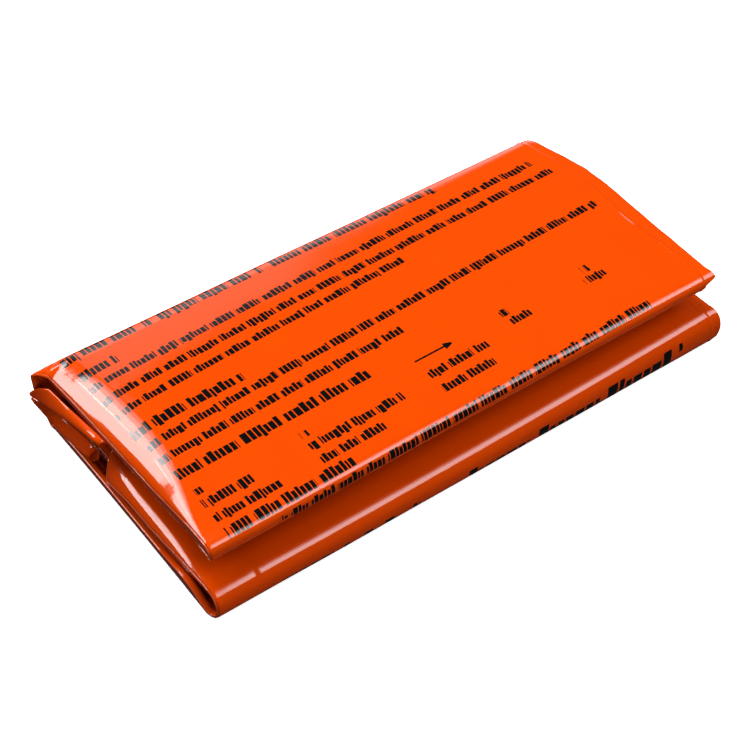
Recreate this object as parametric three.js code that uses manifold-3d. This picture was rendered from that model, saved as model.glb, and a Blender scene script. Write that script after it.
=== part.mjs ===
// Emergency sleeping bag of glossy orange polythene film, folded flat to pocket size.
//
// The bag is one layflat tube of film, welded across its foot. It is folded over and over into a strip, the
// strip's two ends are folded inwards, and the whole is closed like a book: a round spine at the back, and two
// thick packets whose closed folds face the front. The film is springy, so the book stands a little open there.
// Many plies lie in each pass of the strip, so a pass is modelled as one sheet as thick as its plies together,
// and the sheet runs back and forth without a break from its free end inside the upper packet to its free end
// inside the lower one.
//
// Millimetres. +X is to the right along the packet, +Y from the front folds to the spine, and +Z up. The origin
// is on the surface that the packet lies on, under its middle.

import * as THREE from "three";
import Module from "manifold-3d";

// Driving dimensions
const LENGTH = 225; // along X
const WIDTH = 114.6; // lower front fold to spine
const SHEET = 1.6; // thickness of one pass of the strip
const LEAST_GAP = 0.5; // air left between the packets where they are pressed together

// Heights at the front folds, at the left end, in the middle and at the right end
const LOWER_TOP = { left: 12.6, middle: 12.9, right: 16.2 };
const UPPER_UNDERSIDE = { left: 23.4, middle: 24.8, right: 25.2 };
const UPPER_TOP = { left: 30.8, middle: 32.0, right: 32.2 };

// The two packets
const UPPER_SETBACK = 5; // how far the upper front fold stands behind the lower one
const LOWER_CROWN = 2.4; // how much the middle of each upper side swells above its edges
const UPPER_CROWN = 3.4;
const CLEFT_REACH = 95; // how far behind the upper front fold the packets part
const SPINE_DROP = 0.4; // how much lower the packets' upper sides are at the spine than at the front

// Closed folds
const NOSE_DEPTH = { lower: 6.2, upper: 4.4 }; // front folds, from the straight passes to the foremost point
const SPINE_DEPTH = 9;
const NOSE_SQUARENESS = 2.3; // 2 is an ellipse, and more is squarer
const SPINE_SQUARENESS = 3.2;

// The ends of the strip
const LEFT_ROLL = 11; // from the left end to where the film starts to roll inwards
const WELD = 4.5; // from the right end to the weld
const LIP_SHEET = 0.9; // thickness of the lip beyond the weld

// Fineness of the faces
const PASS_STEPS = 7;
const OUTER_FOLD_STEPS = 9;
const INNER_FOLD_STEPS = 5;
const BODY_STEPS = 9;
const ROLL_STEPS = 4;
const LIP_STEPS = 2;

const FRONT = -WIDTH / 2;
const LEFT = -LENGTH / 2;
const RIGHT = LENGTH / 2;
const LEVELS = 4; // passes in each packet

const clamp01 = (v) => Math.min(1, Math.max(0, v));
const mix = (a, b, share) => a + (b - a) * share;
const across = (y) => clamp01((y - FRONT) / WIDTH); // 0 at the front, 1 at the spine
const along = (x) => clamp01((x - LEFT) / LENGTH); // 0 at the left end, 1 at the right

// A smooth value along the packet that has the given values at its two ends and in its middle.
function lengthwise({ left, middle, right }, x) {
  const a = 2 * along(x) - 1;
  return middle + ((right - left) / 2) * a + ((right + left) / 2 - middle) * a * a;
}

// A cushion-like swelling across the packet, 0 at its front and at its spine, fuller in the packet's middle.
function swelling(x, y) {
  const a = 2 * along(x) - 1;
  return Math.sin(Math.PI * across(y)) * (1 - 0.25 * a * a);
}

// How far the book is open.
function opening(x, y) {
  const depth = clamp01((y - FRONT - UPPER_SETBACK) / CLEFT_REACH);
  const atFront = lengthwise(UPPER_UNDERSIDE, x) - lengthwise(LOWER_TOP, x) - LEAST_GAP;
  return LEAST_GAP + atFront * (1 - depth ** 1.6);
}

// Underside and upper side of each packet.
const PACKETS = {
  lower: {
    front: FRONT,
    under: () => 0,
    over: (x, y) => lengthwise(LOWER_TOP, x) + LOWER_CROWN * swelling(x, y),
  },
  upper: {
    front: FRONT + UPPER_SETBACK,
    under: (x, y) => PACKETS.lower.over(x, y) + opening(x, y),
    over: (x, y) => lengthwise(UPPER_TOP, x) + UPPER_CROWN * swelling(x, y) - SPINE_DROP * across(y) ** 2,
  },
};

// Height of the middle of a pass: level 0 lies at the packet's underside and level 3 at its upper side.
function heightOf(packet, level, x, y) {
  const low = PACKETS[packet].under(x, y) + SHEET / 2;
  const high = PACKETS[packet].over(x, y) - SHEET / 2;
  return mix(low, high, level / (LEVELS - 1));
}

// The passes in the order in which the film runs. start and end are depths behind the packet's front fold, and
// outer is 1 for the passes that wrap a packet and 0 for those inside it.
const INNER_FRONT = 11;
const INNER_BACK = 9;
const FREE_END = 14;
const INSIDE = WIDTH - INNER_BACK;
const UPPER_INSIDE = INSIDE - UPPER_SETBACK;
const UPPER_BACK = WIDTH - UPPER_SETBACK - SPINE_DEPTH;
const PASSES = [
  { packet: "upper", level: 2, start: UPPER_INSIDE - FREE_END, end: INNER_FRONT, outer: 0 },
  { packet: "upper", level: 1, start: INNER_FRONT, end: UPPER_INSIDE, outer: 0 },
  { packet: "upper", level: 0, start: UPPER_INSIDE, end: NOSE_DEPTH.upper, outer: 1 },
  { packet: "upper", level: 3, start: NOSE_DEPTH.upper, end: UPPER_BACK, outer: 1 },
  { packet: "lower", level: 0, start: WIDTH - SPINE_DEPTH, end: NOSE_DEPTH.lower, outer: 1 },
  { packet: "lower", level: 3, start: NOSE_DEPTH.lower, end: INSIDE, outer: 1 },
  { packet: "lower", level: 2, start: INSIDE, end: INNER_FRONT, outer: 0 },
  { packet: "lower", level: 1, start: INNER_FRONT, end: INSIDE - FREE_END, outer: 0 },
];

// A place along the film is the number of its pass, plus a share that is below FOLD_FROM on the pass itself and
// above it on the fold that follows.
const FOLD_FROM = 0.7;

// The two edges of the film, at places along it. At the left end the film stands out beyond the packet's end by
// left and has turned inwards by the angle roll. At the right end the lip is as wide as lip and hangs inwards
// by dip.
const EDGES = [
  { place: 0.0, left: -5.0, roll: 0.0, lip: 0.6, dip: 0.0 }, // passes inside the upper packet
  { place: 1.9, left: -5.0, roll: 0.0, lip: 0.6, dip: 0.0 },
  { place: 2.0, left: -5.0, roll: 0.1, lip: 0.6, dip: 0.0 }, // its underside, from the spine
  { place: 2.2, left: -3.0, roll: 0.25, lip: 1.5, dip: 0.0 },
  { place: 2.35, left: -1.2, roll: 0.15, lip: 1.5, dip: 0.0 },
  { place: 2.6, left: -2.5, roll: 0.1, lip: 1.5, dip: 0.0 },
  { place: 2.85, left: -3.2, roll: 0.0, lip: 1.5, dip: 0.0 }, // its front fold
  { place: 3.0, left: -3.0, roll: 0.25, lip: 5.2, dip: 0.2 }, // its upper side, with the tip of the lip
  { place: 3.1, left: -5.0, roll: 0.7, lip: 4.5, dip: 0.9 },
  { place: 3.25, left: -3.0, roll: 0.9, lip: 4.5, dip: 0.9 },
  { place: 3.4, left: -1.8, roll: 0.95, lip: 4.5, dip: 0.9 },
  { place: 3.6, left: -1.4, roll: 0.85, lip: 4.5, dip: 0.9 },
  { place: 3.68, left: -1.0, roll: 0.55, lip: 4.5, dip: 0.9 },
  { place: 3.73, left: -0.2, roll: 0.25, lip: 4.5, dip: 0.9 }, // the spine, with a corner
  { place: 3.8, left: 2.6, roll: -0.1, lip: 4.5, dip: 0.9 },
  { place: 3.83, left: -3.0, roll: 0.2, lip: 4.5, dip: 0.9 }, // a hollow
  { place: 3.87, left: 3.2, roll: -0.2, lip: 4.5, dip: 0.9 }, // and an ear
  { place: 3.9, left: 2.0, roll: -0.1, lip: 4.5, dip: 0.9 },
  { place: 3.95, left: -0.6, roll: 0.1, lip: 4.5, dip: 0.9 },
  { place: 4.0, left: -1.0, roll: 0.4, lip: 4.5, dip: 0.0 }, // the lower packet's underside
  { place: 4.3, left: -1.2, roll: 0.5, lip: 4.5, dip: 0.0 },
  { place: 4.65, left: -0.2, roll: 0.1, lip: 4.5, dip: 0.0 },
  { place: 4.77, left: -0.4, roll: 0.1, lip: 4.8, dip: 0.0 },
  { place: 4.85, left: -0.6, roll: 0.1, lip: 5.6, dip: -1.6 }, // its front fold, flaring at the lip
  { place: 5.0, left: -1.2, roll: 0.3, lip: 4.7, dip: 0.2 }, // its upper side
  { place: 5.15, left: -0.8, roll: 0.7, lip: 4.5, dip: 0.6 },
  { place: 5.5, left: -0.8, roll: 0.7, lip: 4.5, dip: 0.6 },
  { place: 5.8, left: -5.0, roll: 0.0, lip: 0.6, dip: 0.0 }, // passes inside the lower packet
  { place: 8.0, left: -5.0, roll: 0.0, lip: 0.6, dip: 0.0 },
];

function edgesAt(place) {
  const after = Math.max(1, EDGES.findIndex((row) => row.place >= place));
  const from = EDGES[after - 1];
  const to = EDGES[after];
  const share = (place - from.place) / (to.place - from.place);
  const between = (name) => mix(from[name], to[name], share);
  return { left: between("left"), roll: between("roll"), lip: between("lip"), dip: between("dip") };
}

// The fold that joins one pass to the next: how far it bulges beyond their ends, and how many faces it has.
function foldAfter(index) {
  const pass = PASSES[index];
  const next = PASSES[index + 1];
  const outer = pass.outer && next.outer;
  const spine = pass.packet !== next.packet;
  const bulge = spine ? SPINE_DEPTH : outer ? NOSE_DEPTH[pass.packet] : 3;
  return {
    bulge: Math.sign(pass.end - pass.start) * (bulge - SHEET / 2),
    steps: outer ? OUTER_FOLD_STEPS : INNER_FOLD_STEPS,
    squareness: spine ? SPINE_SQUARENESS : outer ? NOSE_SQUARENESS : 2,
  };
}

// A point of a closed fold between two ends, at share 0 to 1 of the way round.
function onFold(from, to, bulge, squareness, share) {
  const turn = Math.PI * share;
  const power = 2 / squareness;
  const out = Math.sin(turn) ** power;
  const over = Math.sign(Math.cos(turn)) * Math.abs(Math.cos(turn)) ** power;
  return {
    y: mix(from.y, to.y, (1 - over) / 2) + bulge * out,
    z: mix(from.z, to.z, (1 - over) / 2),
  };
}

// The film's section at x: a list of points with their places along the film.
function sectionAt(x) {
  const points = [];
  PASSES.forEach(({ packet, level, start, end }, index) => {
    const front = PACKETS[packet].front;
    const at = (depth) => ({ y: front + depth, z: heightOf(packet, level, x, front + depth) });
    for (let i = 0; i <= PASS_STEPS; i++) {
      const share = i / PASS_STEPS;
      points.push({ ...at(mix(start, end, share)), place: index + FOLD_FROM * share });
    }
    if (index === PASSES.length - 1) return;
    const next = PASSES[index + 1];
    const from = at(end);
    const nextY = PACKETS[next.packet].front + next.start;
    const to = { y: nextY, z: heightOf(next.packet, next.level, x, nextY) };
    const { bulge, steps, squareness } = foldAfter(index);
    for (let i = 1; i < steps; i++) {
      const share = i / steps;
      const place = index + mix(FOLD_FROM, 1, share);
      points.push({ ...onFold(from, to, bulge, squareness, share), place });
    }
  });
  return points;
}

// Unit direction, in the section, towards the inside of the packet that the film wraps.
function inwards(points, i) {
  const before = points[Math.max(0, i - 1)];
  const after = points[Math.min(points.length - 1, i + 1)];
  const length = Math.hypot(after.y - before.y, after.z - before.z);
  return { y: (after.z - before.z) / length, z: -(after.y - before.y) / length };
}

// The places across the film, from the left end to the right: on which side they are (-1 left end, 0 body, 1 lip)
// and what share of that side they lie at.
function columns() {
  const made = [];
  for (let i = ROLL_STEPS; i > 0; i--) made.push({ side: -1, share: i / ROLL_STEPS });
  for (let i = 0; i <= BODY_STEPS; i++) made.push({ side: 0, share: i / BODY_STEPS });
  for (let i = 1; i <= LIP_STEPS; i++) made.push({ side: 1, share: i / LIP_STEPS });
  return made;
}

// One point of the film's middle surface.
function filmPoint({ side, share }, i) {
  const rollStart = LEFT + LEFT_ROLL;
  const weld = RIGHT - WELD;
  const sectionX = side < 0 ? rollStart : side > 0 ? weld : mix(rollStart, weld, share);
  const points = sectionAt(sectionX);
  const point = points[i];
  const { left, roll, lip, dip } = edgesAt(point.place);
  const inward = inwards(points, i);
  let x = sectionX;
  let sink = 0;
  if (side < 0) {
    const turn = Math.abs(roll) < 0.02 ? 0.02 : roll;
    const radius = (LEFT_ROLL + left) / Math.sin(turn);
    x -= Math.sin(turn * share) * radius;
    sink = (1 - Math.cos(turn * share)) * radius;
  }
  if (side > 0) {
    x += lip * share;
    sink = dip * share ** 2;
  }
  return new THREE.Vector3(x, point.y + inward.y * sink, point.z + inward.z * sink);
}

// The film's middle surface, thickened to both sides: corner points, and triangles between them.
function filmMesh() {
  const places = columns();
  const rows = sectionAt(0).length;
  const middle = places.map((column) => Array.from({ length: rows }, (_, i) => filmPoint(column, i)));
  const last = places.length - 1;
  const normalAt = (c, r) => {
    const alongX = middle[Math.min(last, c + 1)][r].clone().sub(middle[Math.max(0, c - 1)][r]);
    const alongPath = middle[c][Math.min(rows - 1, r + 1)].clone().sub(middle[c][Math.max(0, r - 1)]);
    return alongX.cross(alongPath).normalize();
  };
  const halfSheet = (c) => {
    const { side, share } = places[c];
    if (side > 0) return mix(SHEET, LIP_SHEET, share) / 2;
    return (side < 0 && share === 1 ? SHEET * 0.6 : SHEET) / 2;
  };
  const corners = [];
  for (const face of [1, -1]) {
    for (let c = 0; c <= last; c++) {
      for (let r = 0; r < rows; r++) {
        corners.push(middle[c][r].clone().addScaledVector(normalAt(c, r), face * halfSheet(c)));
      }
    }
  }
  const triangles = [];
  const at = (face, c, r) => face * places.length * rows + c * rows + r;
  const quad = (a, b, c, d) => triangles.push(a, b, c, a, c, d);
  for (let c = 0; c < last; c++) {
    for (let r = 0; r < rows - 1; r++) {
      quad(at(0, c, r), at(0, c + 1, r), at(0, c + 1, r + 1), at(0, c, r + 1));
      quad(at(1, c, r), at(1, c, r + 1), at(1, c + 1, r + 1), at(1, c + 1, r));
    }
    quad(at(0, c, 0), at(1, c, 0), at(1, c + 1, 0), at(0, c + 1, 0));
    quad(at(0, c, rows - 1), at(0, c + 1, rows - 1), at(1, c + 1, rows - 1), at(1, c, rows - 1));
  }
  for (let r = 0; r < rows - 1; r++) {
    quad(at(0, 0, r), at(0, 0, r + 1), at(1, 0, r + 1), at(1, 0, r));
    quad(at(0, last, r), at(1, last, r), at(1, last, r + 1), at(0, last, r + 1));
  }
  return { corners, triangles };
}

// The pleats: film that has slipped out of the spine's left corner in two tapered tubes, which lie along the left
// end and open towards the front. across and high are half the width and the height of the open end.
const PLEATS = [
  { tip: [-115.4, 58.6, 15.0], end: [-107.4, 18.0, 17.8], across: 3.0, high: 2.1 },
  { tip: [-115.3, 58.4, 12.4], end: [-111.0, 19.8, 11.8], across: 1.9, high: 4.1 },
];
const PLEAT_TIP = 0.3; // how thick the tip is beside the open end
const PLEAT_WALL = 1.1;
const PLEAT_HOLLOW = 0.5; // share of the length at which the hollow starts
const PLEAT_RINGS = 6;
const PLEAT_SIDES = 14;

// Rings of points from one share of a pleat's length to another, thinner than the pleat by inset all round.
function pleatMesh({ tip, end, across: halfAcross, high: halfHigh }, from, to, inset) {
  const corners = [];
  for (let ring = 0; ring <= PLEAT_RINGS; ring++) {
    const share = mix(from, to, ring / PLEAT_RINGS);
    const centre = new THREE.Vector3(...tip).lerp(new THREE.Vector3(...end), share);
    const size = mix(PLEAT_TIP, 1, Math.sin((Math.min(1, share) * Math.PI) / 2));
    for (let side = 0; side < PLEAT_SIDES; side++) {
      const turn = (2 * Math.PI * side) / PLEAT_SIDES;
      const x = Math.cos(turn) * Math.max(0.2, halfAcross * size - inset);
      const z = Math.sin(turn) * Math.max(0.2, halfHigh * size - inset);
      corners.push(new THREE.Vector3(centre.x + x, centre.y, centre.z + z));
    }
  }
  const triangles = [];
  const at = (ring, side) => ring * PLEAT_SIDES + (side % PLEAT_SIDES);
  for (let side = 0; side < PLEAT_SIDES; side++) {
    for (let ring = 0; ring < PLEAT_RINGS; ring++) {
      triangles.push(at(ring, side), at(ring + 1, side + 1), at(ring + 1, side));
      triangles.push(at(ring, side), at(ring, side + 1), at(ring + 1, side + 1));
    }
  }
  for (let side = 1; side < PLEAT_SIDES - 1; side++) {
    triangles.push(at(0, 0), at(0, side + 1), at(0, side));
    triangles.push(at(PLEAT_RINGS, 0), at(PLEAT_RINGS, side), at(PLEAT_RINGS, side + 1));
  }
  return { corners, triangles };
}

const kernel = await Module();
kernel.setup();
const { Manifold, Mesh } = kernel;

function solidOf({ corners, triangles }) {
  const vertProperties = new Float32Array(corners.flatMap((p) => [p.x, p.y, p.z]));
  return new Manifold(new Mesh({ numProp: 3, vertProperties, triVerts: new Uint32Array(triangles) }));
}

function geometryOf(solid) {
  const mesh = solid.getMesh();
  const geometry = new THREE.BufferGeometry();
  geometry.setAttribute("position", new THREE.BufferAttribute(mesh.vertProperties, mesh.numProp));
  geometry.setIndex(new THREE.BufferAttribute(mesh.triVerts, 1));
  geometry.computeVertexNormals();
  return geometry;
}

let solid = solidOf(filmMesh());
for (const pleat of PLEATS) {
  const tube = solidOf(pleatMesh(pleat, 0, 1, 0));
  solid = solid.add(tube.subtract(solidOf(pleatMesh(pleat, PLEAT_HOLLOW, 1.02, PLEAT_WALL))));
}

const film = new THREE.MeshStandardMaterial({ color: 0xf24a05, roughness: 0.12, metalness: 0 });
const bag = new THREE.Mesh(geometryOf(solid), film);
bag.name = "folded_bag";

const root = new THREE.Group();
root.add(bag);
export default root;
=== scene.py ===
# %% [markdown]
# # Emergency sleeping bag of orange film, folded flat
#
# The bag is a tube of glossy orange polythene, thin as a bin liner. It is folded over and over into a
# strip, the strip's ends are folded inwards, and the whole closes like a book. The spine is at the back
# and the book stands a little open at the front.
#
# Two swollen blocks with folds carved into them would be quick, but their ends would show no plies. So
# this lesson lays one sheet out flat and folds it up, row by row, as the real bag is folded.

# %% Load the frame
import math

import bmesh
import bpy
from mathutils import Matrix, Vector, noise


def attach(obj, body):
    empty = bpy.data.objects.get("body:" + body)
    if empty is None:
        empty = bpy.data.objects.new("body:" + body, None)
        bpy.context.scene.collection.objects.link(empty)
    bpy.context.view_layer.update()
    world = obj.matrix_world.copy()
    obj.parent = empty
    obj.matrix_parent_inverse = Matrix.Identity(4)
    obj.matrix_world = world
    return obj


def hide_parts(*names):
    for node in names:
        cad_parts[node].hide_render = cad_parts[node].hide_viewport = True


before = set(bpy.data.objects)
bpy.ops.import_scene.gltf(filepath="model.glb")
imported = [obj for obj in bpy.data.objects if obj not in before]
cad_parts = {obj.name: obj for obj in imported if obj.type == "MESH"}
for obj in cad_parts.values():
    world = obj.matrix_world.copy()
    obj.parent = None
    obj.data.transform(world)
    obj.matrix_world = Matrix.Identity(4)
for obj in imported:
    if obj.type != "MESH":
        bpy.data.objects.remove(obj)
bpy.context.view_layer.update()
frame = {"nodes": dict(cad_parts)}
MM = 0.001
print("frame loaded:", ", ".join(frame["nodes"]))

# %% [markdown]
# ## The camera
#
# The camera looks down at the bag's left front corner from about 0.7 metres. It could be aimed by eye, but
# the way that the long edges draw together fixes its place and its lens, so both are given as numbers.

# %% Camera
CAMERA_PLACE = (-291.2, -388.6, 487.5)  # millimetres
CAMERA_AZIMUTH = -36.33
CAMERA_ELEVATION = 44.83
FOCAL_PIXELS = 1843  # focal length in pixels of a picture that is FRAME_PIXELS wide
FRAME_PIXELS = 750
SENSOR = 36.0  # width in millimetres
NEAREST = 0.01  # metres


def add_camera():
    data = bpy.data.cameras.new("camera")
    data.sensor_width = SENSOR
    data.lens = FOCAL_PIXELS / FRAME_PIXELS * SENSOR
    data.clip_start = NEAREST
    camera = bpy.data.objects.new("camera", data)
    bpy.context.scene.collection.objects.link(camera)
    camera.location = Vector(CAMERA_PLACE) * MM
    tilt = math.radians(90 - CAMERA_ELEVATION)
    camera.rotation_euler = (tilt, 0, math.radians(CAMERA_AZIMUTH))
    return camera


bpy.context.scene.camera = add_camera()
print("lens", round(bpy.context.scene.camera.data.lens, 1), "mm")

# %% [markdown]
# ## The space that the film fills
#
# Two packets lie one on the other. Each has an underside and an upper side, and each swells a little in
# its middle, as springy film does. Sculpted blocks could show that, but a few functions do more: they give
# the height of both sides anywhere, so that every fold and ply below can be placed between them.

# %% Sizes in millimetres
LENGTH = 225.0
WIDTH = 114.6
FILM = 0.4  # a ply is drawn thicker than the real 0.1 mm, and fewer plies are drawn
LEAST_GAP = 0.5  # air left between the packets where they are pressed together

LOWER_TOP = (12.6, 12.9, 16.2)  # heights at the front: left end, middle, right end
UPPER_UNDERSIDE = (23.4, 24.8, 25.2)
UPPER_TOP = (30.8, 32.0, 32.2)

UPPER_SETBACK = 5.0  # how far the upper front fold stands behind the lower one
LOWER_CROWN = 2.4  # how much the middle of each upper side swells above its edges
UPPER_CROWN = 3.4
END_LOSS = 0.25  # share of the swelling that is gone at the two ends
CLEFT_REACH = 95.0  # how far behind the upper front fold the packets part
CLEFT_CURVE = 1.6  # above 1, the cleft opens ever faster towards the front
SPINE_DROP = 0.4  # how much lower the bag's upper side lies at the spine than at the front

LOWER_NOSE = 6.2  # depth of the closed front folds and of the spine
UPPER_NOSE = 4.4
SPINE_DEPTH = 9.0
NOSE_SQUARENESS = 2.3
SPINE_SQUARENESS = (4.6, 3.2, 3.0)  # left end, middle, right end; 2 is an ellipse, more is squarer

FRONT = -WIDTH / 2
LEFT = -LENGTH / 2
RIGHT = LENGTH / 2
print("packets:", LENGTH, "mm long and", WIDTH, "mm wide, the ear and the lip not counted")


# %% Heights of the two packets
def clamp01(value):
    return min(1.0, max(0.0, value))


def mix(a, b, share):
    return a + (b - a) * share


def across(y):
    """0 at the lower front fold and 1 at the spine."""
    return clamp01((y - FRONT) / WIDTH)


def lengthwise(ends, x):
    """A value at x of a smooth curve through its values at the left end, in the middle and at the right."""
    left, middle, right = ends
    a = 2 * clamp01((x - LEFT) / LENGTH) - 1
    return middle + (right - left) / 2 * a + ((right + left) / 2 - middle) * a * a


def swelling(x, y):
    a = 2 * clamp01((x - LEFT) / LENGTH) - 1
    return math.sin(math.pi * across(y)) * (1 - END_LOSS * a * a)


def lower_over(x, y):
    return lengthwise(LOWER_TOP, x) + LOWER_CROWN * swelling(x, y)


def upper_under(x, y):
    depth = clamp01((y - FRONT - UPPER_SETBACK) / CLEFT_REACH)
    at_front = lengthwise(UPPER_UNDERSIDE, x) - lengthwise(LOWER_TOP, x) - LEAST_GAP
    return lower_over(x, y) + LEAST_GAP + at_front * (1 - depth ** CLEFT_CURVE)


def upper_over(x, y):
    return lengthwise(UPPER_TOP, x) + UPPER_CROWN * swelling(x, y) - SPINE_DROP * across(y) ** 2


PACKETS = {
    "lower": {"front": FRONT, "under": lambda x, y: 0.0, "over": lower_over, "levels": 10},
    "upper": {"front": FRONT + UPPER_SETBACK, "under": upper_under, "over": upper_over, "levels": 8},
}


def height_of(packet, level, x, y):
    """Height of a ply's middle, from level 0 at the packet's underside to its last level on top."""
    side = PACKETS[packet]
    low = side["under"](x, y) + FILM / 2
    high = side["over"](x, y) - FILM / 2
    return mix(low, high, level / (side["levels"] - 1))


def slope_of(packet, level, x, y):
    return height_of(packet, level, x, y + 0.5) - height_of(packet, level, x, y - 0.5)


lowest, highest = upper_under(0, FRONT), upper_over(0, FRONT)
print("upper packet's front fold: from", round(lowest, 1), "to", round(highest, 1), "mm high")

# %% [markdown]
# ## The route of the film
#
# Seen from the end, the film is one line that runs back and forth. It starts inside the upper packet,
# wraps that packet, goes down the spine, wraps the lower packet and ends inside it. Each fold could be a
# piece of its own, but then every joint would show. So the route is a list of stretches, straight passes
# and the folds that join them, and one sheet follows it all. The outer stretches carry fine rows, because
# they show, and the inner ones are coarse.

# %% Stretches of the route
INNER_FRONT = 7.0  # from the packet's front to where the inner plies turn back
INNER_BACK = 9.0
FREE_END = 14.0  # how far the film's two free edges stop short of the others
INNER_STEPS = 6
UNDER_STEPS = 26
OVER_STEPS = 40
INSIDE = WIDTH - INNER_BACK
UPPER_INSIDE = INSIDE - UPPER_SETBACK
UPPER_BACK = WIDTH - UPPER_SETBACK - SPINE_DEPTH


def one_pass(packet, level, start, end, steps, outer=True):
    return {"packet": packet, "level": level, "start": start, "end": end, "steps": steps, "outer": outer}


def inner_passes(packet, levels, back):
    """Passes inside a packet, from one level to the next, each turning back where the last one ended."""
    made = []
    for level in levels:
        start, end = (back, INNER_FRONT) if level % 2 == 0 else (INNER_FRONT, back)
        made.append(one_pass(packet, level, start, end, INNER_STEPS, False))
    return made


TOP_UPPER = PACKETS["upper"]["levels"] - 1
TOP_LOWER = PACKETS["lower"]["levels"] - 1
PASSES = inner_passes("upper", range(TOP_UPPER - 1, 0, -1), UPPER_INSIDE)
FIRST_OUTER = len(PASSES)
PASSES += [
    one_pass("upper", 0, UPPER_INSIDE, UPPER_NOSE, UNDER_STEPS),
    one_pass("upper", TOP_UPPER, UPPER_NOSE, UPPER_BACK, OVER_STEPS),
    one_pass("lower", 0, WIDTH - SPINE_DEPTH, LOWER_NOSE, UNDER_STEPS),
    one_pass("lower", TOP_LOWER, LOWER_NOSE, INSIDE, OVER_STEPS),
]
PASSES += inner_passes("lower", range(TOP_LOWER - 1, 0, -1), INSIDE)
PASSES[0]["start"] -= FREE_END
PASSES[-1]["end"] -= FREE_END
print(len(PASSES), "passes of film")

# %% [markdown]
# ## Closed folds
#
# A folded edge of thick, springy film is neither a half circle nor a sharp corner. It is something
# between, squarer at the spine than at the front. A superellipse has one number for that. It leans on the
# slopes of the two passes that it joins, so that no kink shows where the fold begins.

# %% Shape of a fold
SPINE_STEPS = 40
NOSE_STEPS = 28
INNER_FOLD = (2.4, 5, 2.0)  # bulge, steps and squareness of a fold inside a packet


def fold_after(index, x):
    """The fold that joins a pass to the next one: its bulge, its number of steps and its squareness."""
    here, there = PASSES[index], PASSES[index + 1]
    outwards = math.copysign(1, here["end"] - here["start"])
    if here["packet"] != there["packet"]:
        return outwards * (SPINE_DEPTH - FILM / 2), SPINE_STEPS, lengthwise(SPINE_SQUARENESS, x)
    if here["outer"] and there["outer"]:
        nose = UPPER_NOSE if here["packet"] == "upper" else LOWER_NOSE
        return outwards * (nose - FILM / 2), NOSE_STEPS, NOSE_SQUARENESS
    bulge, steps, squareness = INNER_FOLD
    return outwards * bulge, steps, squareness


def on_fold(start, end, slopes, bulge, squareness, share):
    """A point of a closed fold that carries on the slopes of the two passes that it joins."""
    turn = math.pi * share
    out = bulge * math.sin(turn) ** (2 / squareness)
    over = math.copysign(abs(math.cos(turn)) ** (2 / squareness), math.cos(turn))
    done = (1 - over) / 2
    lean = slopes[0] * out * (1 - done) ** 3 + slopes[1] * out * done ** 3
    return mix(start[0], end[0], done) + out, mix(start[1], end[1], done) + lean


foremost = on_fold((0.0, 0.0), (0.0, 10.0), (0.0, 0.0), -4.0, NOSE_SQUARENESS, 0.5)
print("a 10 mm high fold with a bulge of 4 mm reaches out to", [round(value, 1) for value in foremost])

# %% [markdown]
# ## The section
#
# Cut the bag across its length and the film is one long line. One drawn curve could be swept along the
# whole bag, but the packets change a little from end to end. So the section is worked out anew wherever a
# column of points needs it.
#
# Every point carries q, which counts the outer stretches: 0 upper underside, 1 upper front fold, 2 upper
# side, 3 spine, 4 underside, 5 lower front fold, 6 lower side. Between two numbers it is the share done.

# %% Section of the film at one place along the packet
def section_at(x):
    """Points (y, z) of the section, with q, half the pitch of the plies there, the packet and the level."""
    points = []
    for index, item in enumerate(PASSES):
        packet, level = item["packet"], item["level"]
        front = PACKETS[packet]["front"]
        q = 2 * (index - FIRST_OUTER)
        for number in range(item["steps"] + 1):
            share = number / item["steps"]
            y = front + mix(item["start"], item["end"], share)
            pitch = height_of(packet, 1, x, y) - height_of(packet, 0, x, y)
            points.append((y, height_of(packet, level, x, y), q + share, pitch / 2, packet, level))
        if index == len(PASSES) - 1:
            return points
        then = PASSES[index + 1]
        bulge, steps, squareness = fold_after(index, x)
        start = (points[-1][0], points[-1][1])
        next_y = PACKETS[then["packet"]]["front"] + then["start"]
        end = (next_y, height_of(then["packet"], then["level"], x, next_y))
        slopes = slope_of(packet, level, x, start[0]), slope_of(then["packet"], then["level"], x, next_y)
        for number in range(1, steps):
            y, z = on_fold(start, end, slopes, bulge, squareness, number / steps)
            points.append((y, z, q + 1 + number / steps, pitch / 2, packet, level))


MIDDLE = section_at(0.0)
ROWS = len(MIDDLE)


def film_lengths():
    """Distance along the film of every row, from the film's first edge."""
    run = [0.0]
    for before, after in zip(MIDDLE, MIDDLE[1:]):
        run.append(run[-1] + math.hypot(after[0] - before[0], after[1] - before[1]))
    return run


def row_at(q):
    """The row that comes nearest to this value of q."""
    return min(range(ROWS), key=lambda row: abs(MIDDLE[row][2] - q))


RUN = film_lengths()
LOWER_FRONT_ROW = row_at(5.5)
print(ROWS, "rows of points along", round(RUN[-1]), "mm of film")

# %% [markdown]
# ## The two ends
#
# At the left end the film of each upper side rolls down over the plies, turns a crisp edge and tucks
# back in. At the right end a weld closes the bag's foot, and a narrow lip of film stands out beyond it.
# A cloth simulation could fold such ends, but each run would crease in its own way. So one table says what
# the film does at both ends, stretch by stretch along the route. A fold can then be crisp in one place
# and soft in the next, as it is on the real bag.

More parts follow.
